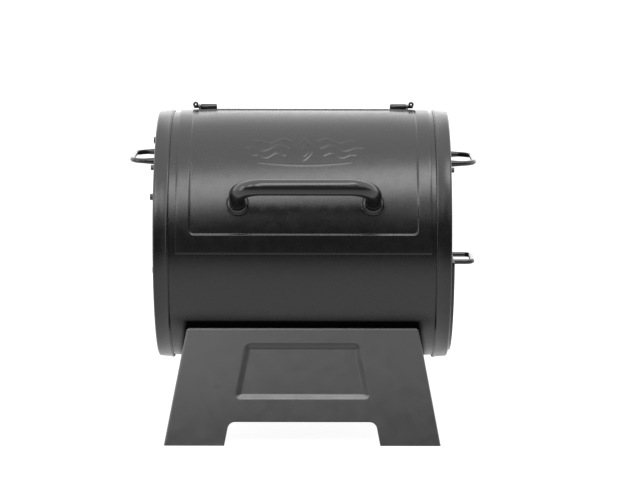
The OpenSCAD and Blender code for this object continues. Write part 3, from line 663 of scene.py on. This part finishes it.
def make_leg(front):
    """Folded leg plate: a grid over its face and side returns, with the arch cut out."""
    name = "front_leg" if front else "rear_leg"
    fold = LEG_FOLD
    arc = [(math.pi / 2) * i / 5 for i in range(1, 6)]
    cols = [("flat", t) for t in np.linspace(-1, 1, 241)]
    cols = [("back", -1, 1.0), ("back", -1, 0.5)] + [("bend", -1, a) for a in reversed(arc)] + cols
    cols += [("bend", 1, a) for a in arc] + [("back", 1, 0.5), ("back", 1, 1.0)]
    coarse, fine, margin, step = 3 * MM, 0.8 * MM, 2 * MM, 12 * MM
    low, high = PANEL_S
    rows = lines([(-9 * MM, low - margin, coarse), (low - margin, low + step, fine),
                  (low + step, high - step, coarse), (high - step, high + margin, fine),
                  (high + margin, LEG_LEN - fold, coarse)])

    def point(col, s):
        if col[0] == "flat":
            x = col[1] * (leg_half(s) - fold)
            depth = PANEL_DEPTH * chamfer(panel_distance(x, s) / PANEL_STEP)
            return on_leg(x, s, -depth, front)
        side = col[1]
        edge = leg_half(s) - fold
        if col[0] == "bend":
            bent_x = side * (edge + fold * math.sin(col[2]))
            return on_leg(bent_x, s, -fold * (1 - math.cos(col[2])),
                          front)
        return on_leg(side * leg_half(s), s, -fold - (LEG_RETURN - fold) * col[2], front)

    verts = [point(c, s) for c in cols for s in rows]
    n = len(rows)
    faces = [(i * n + j, (i + 1) * n + j, (i + 1) * n + j + 1, i * n + j + 1)
             for i in range(len(cols) - 1) for j in range(n - 1)]
    # The top edge folds in and down along the barrel.
    flange_a = math.radians(114)
    flange_len = 30 * MM
    flats = [i for i, c in enumerate(cols) if c[0] == "flat"]
    top = [(fold * math.sin(a), -fold * (1 - math.cos(a)))
           for a in [flange_a * k / 7 for k in range(1, 8)]]
    end_s, end_out = top[-1]
    top.append((end_s + flange_len * math.cos(flange_a), end_out - flange_len * math.sin(flange_a)))
    base = len(verts)
    top_half = leg_half(LEG_LEN) - fold
    for ds, out in top:
        for i in flats:
            verts.append(on_leg(cols[i][1] * top_half, LEG_LEN - fold + ds, out, front))
    m = len(flats)
    previous = [i * n + n - 1 for i in flats]
    for k in range(len(top)):
        row = [base + k * m + i for i in range(m)]
        faces += [(previous[i], previous[i + 1], row[i + 1], row[i]) for i in range(m - 1)]
        previous = row
    mesh = mesh_from(name + "_sheet", verts, faces)
    plate = mesh.polygons[len(mesh.polygons) // 2]
    outward = Vector((0, -1 if front else 1, 0.35))
    if plate.normal.dot(outward) < 0:
        mesh.flip_normals()
    mesh = processed(mesh, solidify(LEG_SHEET))
    foot, crown, height, r = ARCH
    slope = (foot - crown) / height
    lean = math.atan(slope)
    corner = (crown - r / math.cos(lean) * (1 - math.sin(lean)), height - r)
    bend = [(corner[0] + r * math.cos(lean + (math.pi / 2 - lean) * i / 10),
             corner[1] + r * math.sin(lean + (math.pi / 2 - lean) * i / 10)) for i in range(11)]
    below = -20 * MM
    outline = [(foot - below * slope, below)] + bend
    outline += [(-x, s) for x, s in reversed(outline)]
    arch = prism("arch", outline, -0.05, 0.05, lambda x, s, d: on_leg(x, s, d, front))
    mesh = cut(mesh, arch)
    square = [(-1, -1), (1, -1), (1, 1), (-1, 1)]
    mesh = cut(mesh, prism("floor", square, -0.2, 0.0, lambda x, y, z: (x, y, z)))
    barrel = x_prism("barrel", circle(BARREL_R + 0.25 * MM, n=256), -0.4, 0.4)
    mesh = cut(mesh, barrel)
    mesh = processed(mesh, bevel(0.5 * MM, 2, 50))
    link_piece(name + "_sheet", mesh, "firebox", "leg_paint", (name,), 40)


make_leg(True)
make_leg(False)

# ---------------------------------------------------------------- lid handle

HANDLE_R = 12.7 * MM
HANDLE_SPAN = 210 * MM
HANDLE_REACH = 78 * MM
HANDLE_BEND = 40 * MM
HANDLE_FOOT_A = 22.5
HANDLE_LEAN = math.radians(28)


def on_handle(x, out, up=0.0):
    """Point near the lid handle: x from its middle, out of the lid, and up across that."""
    y, z = around(LID_R - STAMP_DEPTH, HANDLE_FOOT_A)
    c, s = math.cos(HANDLE_LEAN), math.sin(HANDLE_LEAN)
    return Vector((HANDLE_MID + x, y - out * c + up * s, z + out * s + up * c))


def u_path(span, reach, bend, start, place, steps):
    """Points of a U: out along one leg, over the bar and back, in the plane place maps."""
    half = span / 2
    side = [(half, start + (reach - bend - start) * i / 6) for i in range(6)]
    side += [(half - bend + bend * math.cos(math.pi / 2 * i / steps),
              reach - bend + bend * math.sin(math.pi / 2 * i / steps)) for i in range(steps + 1)]
    other = [(-p, q) for p, q in reversed(side)]
    return [place(p, q) for p, q in side + other]


def make_lid_handle():
    """The bent tube, and a turned cup round each of its feet."""
    path = u_path(HANDLE_SPAN, HANDLE_REACH, HANDLE_BEND, 1.5 * MM, on_handle, 24)
    mesh = sweep("handle_tube", path, [HANDLE_R] * len(path), 48)
    link_piece("handle_tube", mesh, "lid", "handle_paint", ("lid_handle",), 60)
    cups = []
    for side in (-1, 1):
        # Radius and height of the cup's section, in mm
        rings = [(12.72, -1.5), (18.2, -1.5), (18.6, -0.9), (18.6, 1.6), (18.2, 2.3), (17.6, 2.6),
                 (17.2, 3.0), (16.9, 4.4), (16.2, 6.2), (15.2, 7.6), (14.2, 8.6), (13.4, 9.0),
                 (12.9, 8.9), (12.72, 8.6)]
        sides = 64
        verts = []
        for k in range(sides):
            a = 2 * math.pi * k / sides
            for r, out in rings:
                verts.append(on_handle(side * HANDLE_SPAN / 2 + r * MM * math.cos(a), out * MM,
                                       r * MM * math.sin(a)))
        n = len(rings)
        faces = [(k * n + i, k * n + (i + 1) % n, (k + 1) % sides * n + (i + 1) % n,
                  (k + 1) % sides * n + i) for k in range(sides) for i in range(n)]
        cups.append(mesh_from("cup", verts, faces))
    link_piece("handle_cups", join("handle_cups", cups), "lid", "cup_black",
               ("lid_handle_cups",), 50)


make_lid_handle()

# ---------------------------------------------------------------- rod handles

CARRY_ROD_R = 4.1 * MM
CARRY_BEND = 26 * MM
FLARE = 1.5 * MM
FLARE_LEN = 20 * MM
TAB_THICK = 3 * MM
TAB_HALF = 8 * MM
TAB_TOP = 5.6 * MM
TAB_DROP = 15.5 * MM


def rod_handle(name, side, base_x, y_half, z, reach_x, bend, r, flare):
    """Rod handle on an end face: flared legs where flare is set, and a bar between them."""
    def place(p, q):
        return Vector((side * q, p, z))

    path = u_path(2 * y_half, reach_x, bend, base_x, place, 14)
    radii = [r + flare * max(0, 1 - (abs(p.x) - base_x) / FLARE_LEN) for p in path]
    return sweep(name, path, radii, 28)


def tab_mesh(side, x0, y, z):
    """Flattened end of a carry handle: a tab with rounded lower corners."""
    r, snip = 5 * MM, 3 * MM
    left, right, top, low = y - TAB_HALF, y + TAB_HALF, z + TAB_TOP, z - TAB_DROP
    outline = [(right, top - snip), (right - snip, top), (left + snip, top), (left, top - snip)]
    turn = [math.pi / 2 * i / 6 for i in range(7)]
    outline += [(left + r - r * math.cos(a), low + r - r * math.sin(a)) for a in turn]
    outline += [(right - r + r * math.sin(a), low + r - r * math.cos(a)) for a in turn]
    mesh = prism("tab", outline, x0, x0 + TAB_THICK, lambda p, q, x: (side * x, p, q))
    return processed(mesh, bevel(0.7 * MM, 3, 40))


def make_carry_handle(side):
    node = "right_carry_handle" if side > 0 else "left_carry_handle"
    lo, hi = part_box(node)
    base = min(abs(lo[0]), abs(hi[0]))
    outer = max(abs(lo[0]), abs(hi[0]))
    y_half = hi[1] - TAB_HALF
    z = hi[2] - TAB_TOP
    rod = rod_handle("rod", side, base + 1 * MM, y_half, z, outer - CARRY_ROD_R, CARRY_BEND,
                     CARRY_ROD_R, FLARE)
    tabs = [tab_mesh(side, base, y, z) for y in (-y_half, y_half)]
    link_piece(node + "_rod", join(node, [rod] + tabs), "firebox", "handle_paint", (node,), 50)


def make_drawer_handle():
    """Rod pull of the drawer, with a thinner threaded end behind each of its feet."""
    lo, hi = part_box("drawer_handle")
    r = 4 * MM
    z = (lo[2] + hi[2]) / 2
    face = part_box("drawer_front")[1][0] + 1.6 * MM
    rod = rod_handle("rod", 1, face, hi[1] - r, z, hi[0] - r, 10 * MM, r, 0)
    ends = []
    for y in (-(hi[1] - r), hi[1] - r):
        ends.append(sweep("end", [(lo[0], y, z), (lo[0] + 1 * MM, y, z), (face + 1 * MM, y, z)],
                          [2.4 * MM, 3 * MM, 3 * MM], 24))
    link_piece("drawer_pull", join("drawer_pull", [rod] + ends), "drawer", "handle_paint",
               ("drawer_handle",), 50)


make_carry_handle(-1)
make_carry_handle(1)
make_drawer_handle()

# ---------------------------------------------------------------- everything else

# CAD nodes shown with rounded edges, and the width of the rounding in mm
FINE = {
    "port_cover": 0.5, "drawer_front": 0.9, "drawer_pan": 0.5, "exhaust_damper": 0.35,
    "intake_damper": 0.35, "exhaust_damper_knob": 0.8, "intake_damper_knob": 0.8,
    "hinge_bracket_left": 0.4, "hinge_bracket_right": 0.4, "hinge_knuckles": 0.5,
    "hinge_pin_left": 0.4, "hinge_pin_right": 0.4, "hinge_bolts": 0.5, "port_bolts": 0.5,
    "leg_bolts": 0.5, "carry_handle_bolts": 0.5, "cooking_grate_left": 1.2,
    "cooking_grate_right": 1.2, "front_grate_ledge": 0.3, "rear_grate_ledge": 0.3,
    "front_drawer_rail": 0.3, "rear_drawer_rail": 0.3,
}
for node_name, width in FINE.items():
    refined(node_name, width * MM)

for node_name, obj in nodes.items():
    obj.data.materials.clear()
    obj.data.materials.append(MATERIALS[SLOT_OF[node_name]])

# ---------------------------------------------------------------- stage, light and camera

# The floor's glow changes from the first to the second strength between these places
GLOW_Y = (-1.25, -0.45)
GLOW = (0.35, 0.92)


def make_floor():
    """Pale floor that also glows, less so in front of the grill."""
    half = 40
    mesh = mesh_from("floor", [(-half, -half, 0), (half, -half, 0), (half, half, 0),
                               (-half, half, 0)], [(0, 1, 2, 3)])
    mat, tree, shader, coords = node_material("floor")
    tone = two_tones(tree, noise(tree, coords, 3, 3), (0.11,) * 3, (0.13,) * 3)
    tree.links.new(tone, shader.inputs["Base Color"])
    shader.inputs["Roughness"].default_value = 0.9
    shader.inputs["Emission Color"].default_value = (1, 1, 1, 1)
    place = separated(tree, coords)
    glow = mapped(tree, place["Y"], *GLOW_Y, *GLOW, "SMOOTHSTEP")
    tree.links.new(glow, shader.inputs["Emission Strength"])
    mesh.materials.append(mat)
    obj = bpy.data.objects.new("floor", mesh)
    scene.collection.objects.link(obj)


def facing(direction, roll):
    """Rotation whose +Z looks along direction, turned by roll about it."""
    z = Vector(direction).normalized()
    x = Vector((0, 0, 1)).cross(z).normalized()
    y = z.cross(x)
    c, s = math.cos(math.radians(roll)), math.sin(math.radians(roll))
    return Matrix((x * c + y * s, y * c - x * s, z)).transposed().to_quaternion()


def softbox(name, azimuth, elevation, distance, size, radiance, roll=0.0):
    """Rectangular light aimed at the barrel. Azimuth 0 is the front, 90 the right."""
    az, el = math.radians(azimuth), math.radians(elevation)
    direction = Vector((math.sin(az) * math.cos(el), -math.cos(az) * math.cos(el), math.sin(el)))
    data = bpy.data.lights.new(name, "AREA")
    data.shape = "RECTANGLE"
    data.size, data.size_y = size
    data.energy = radiance * math.pi * size[0] * size[1]
    obj = bpy.data.objects.new(name, data)
    scene.collection.objects.link(obj)
    obj.location = Vector((0, 0, AXIS_Z)) + distance * direction
    obj.rotation_mode = "QUATERNION"
    obj.rotation_quaternion = facing(direction, roll)
    obj.visible_camera = False


def make_world():
    """Studio surroundings: dark at the camera's level, bright overhead and behind."""
    world = bpy.data.worlds.new("studio")
    scene.world = world
    world.use_nodes = True
    tree = world.node_tree
    place = separated(tree, tree.nodes.new("ShaderNodeTexCoord").outputs["Generated"])
    front = arithmetic(tree, "MULTIPLY", place["Y"], -1.0)
    angle = arithmetic(tree, "ARCTAN2", place["Z"], front)
    turn = arithmetic(tree, "DIVIDE", angle, math.pi)
    # Radiance at angles from the front horizon, over the top, to the rear horizon
    sky = ((0, 0.12), (33, 0.12), (60, 2.3), (85, 2.2), (105, 2.0), (128, 1.6), (156, 2.35),
           (180, 2.4))
    brightest = 2.5
    stops = [(at / 180, (value / brightest,) * 3) for at, value in sky]
    background = tree.nodes["Background"]
    tree.links.new(ramp(tree, turn, stops), background.inputs["Color"])
    background.inputs["Strength"].default_value = brightest


def make_card():
    """Dark card on the camera's side, which the camera looks through."""
    wide, front, high = 3, -1.4, 0.78
    mesh = mesh_from("card", [(-wide, front, 0), (wide, front, 0), (wide, front, high),
                              (-wide, front, high)], [(0, 1, 2, 3)])
    mat, tree, shader, coords = node_material("card")
    tone = two_tones(tree, noise(tree, coords, 2, 2), (0.07,) * 3, (0.09,) * 3)
    tree.links.new(tone, shader.inputs["Base Color"])
    shader.inputs["Roughness"].default_value = 1.0
    mesh.materials.append(mat)
    obj = bpy.data.objects.new("card", mesh)
    scene.collection.objects.link(obj)
    obj.visible_camera = False


def make_camera():
    """Long lens, a little above the barrel's axis and almost straight in front of it."""
    data = bpy.data.cameras.new("camera")
    data.sensor_width = 36
    data.lens = 141.8
    data.clip_start, data.clip_end = 0.1, 200
    cam = bpy.data.objects.new("camera", data)
    scene.collection.objects.link(cam)
    azimuth, elevation, roll = math.radians(0.41), math.radians(9.48), math.radians(0.08)
    distance, aim_right, aim_up = 4.1, 0.0272, -0.0110
    forward = Vector((-math.sin(azimuth) * math.cos(elevation),
                      math.cos(azimuth) * math.cos(elevation),
                      -math.sin(elevation)))
    right = Vector((math.cos(azimuth), math.sin(azimuth), 0))
    up = right.cross(forward)
    centre = Vector((0, 0, AXIS_Z))
    cam.location = centre - distance * forward
    look = (centre + aim_right * right + aim_up * up - cam.location).normalized()
    right = look.cross(Vector((0, 0, 1))).normalized()
    up = right.cross(look)
    cam.rotation_mode = "QUATERNION"
    level = Matrix((right, up, -look)).transposed()
    cam.rotation_quaternion = (Matrix.Rotation(-roll, 3, look) @ level).to_quaternion()
    scene.camera = cam


make_floor()
make_world()
make_card()
softbox("key", 0, 53, 2.6, (3.0, 0.92), 5.3, 40)
softbox("low_left", -15, 28, 2.6, (0.85, 0.6), 1.3)
softbox("low_right", 15, 29, 2.6, (0.85, 0.65), 1.3)
softbox("left_window", -70, 12, 2.4, (0.6, 1.5), 4.0)
softbox("left_panel", -46, 32, 2.6, (0.7, 0.9), 4.0)
softbox("right_panel", 46, 30, 2.6, (0.4, 0.9), 1.5)
make_camera()
scene.view_settings.view_transform = "Standard"
